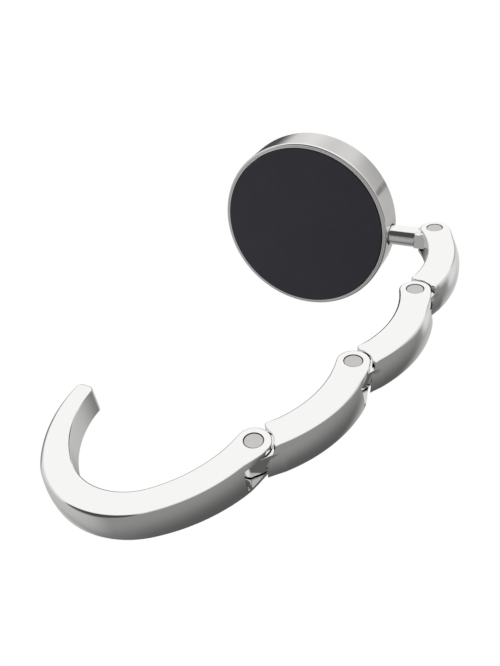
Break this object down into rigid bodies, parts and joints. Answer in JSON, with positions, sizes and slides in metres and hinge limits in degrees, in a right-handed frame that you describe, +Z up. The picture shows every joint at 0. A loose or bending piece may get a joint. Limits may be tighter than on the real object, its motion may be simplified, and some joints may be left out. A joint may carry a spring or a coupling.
{
  "type": "purse hook",
  "caption": "Folding purse hook: a padded disc rests on a table top, and a jointed chain with a curved hook hangs from its swivel stud to hold a bag's strap.",
  "frame": {"origin": "centre of the grip pad's outer face, which lies on the table top", "axes": "+Z up, away from the table top; the stud leaves the disc along +X; the chain and the hook hang in the XZ plane and every hinge axis runs along Y"},
  "size_m": [0.0628, 0.044, 0.1031],
  "materials": {
    "chrome": "polished chrome plating on die-cast zinc",
    "pin_steel": "satin steel",
    "sheet_steel": "plain rolled",
    "adhesive": "double-sided film",
    "nylon": "natural",
    "black_rubber": "smooth satin black"
  },
  "bodies": {
    "disc": {"disc_case": "chrome", "top_inlay": "chrome", "inlay_adhesive": "adhesive", "base_plate": "sheet_steel", "pad_adhesive": "adhesive", "grip_pad": "black_rubber"},
    "stud": {"swivel_stud": "chrome", "stud_clip": "sheet_steel", "stud_washer": "nylon"},
    "link_1": {"link_1": "chrome", "hinge_pin_1": "pin_steel"},
    "link_2": {"link_2": "chrome", "hinge_pin_2": "pin_steel"},
    "link_3": {"link_3": "chrome", "hinge_pin_3": "pin_steel"},
    "hook": {"hook_arm": "chrome", "hinge_pin_4": "pin_steel"}
  },
  "joints": [
    {"name": "stud_swivel", "type": "hinge", "parent": "disc", "child": "stud", "pos_m": [0.022, 0, 0.00375], "axis": [1, 0, 0], "range_deg": [-90, 90]},
    {"name": "hinge_1", "type": "hinge", "parent": "stud", "child": "link_1", "pos_m": [0.0317, 0, 0.00375], "axis": [0, 1, 0], "range_deg": [0, 45.5]},
    {"name": "hinge_2", "type": "hinge", "parent": "link_1", "child": "link_2", "pos_m": [0.03515, 0, -0.02142], "axis": [0, 1, 0], "range_deg": [0, 28]},
    {"name": "hinge_3", "type": "hinge", "parent": "link_2", "child": "link_3", "pos_m": [0.0321, 0, -0.04663], "axis": [0, 1, 0], "range_deg": [0, 40]},
    {"name": "hook_hinge", "type": "hinge", "parent": "link_3", "child": "hook", "pos_m": [0.0248, 0, -0.07096], "axis": [0, 1, 0], "range_deg": [0, 12]}
  ]
}
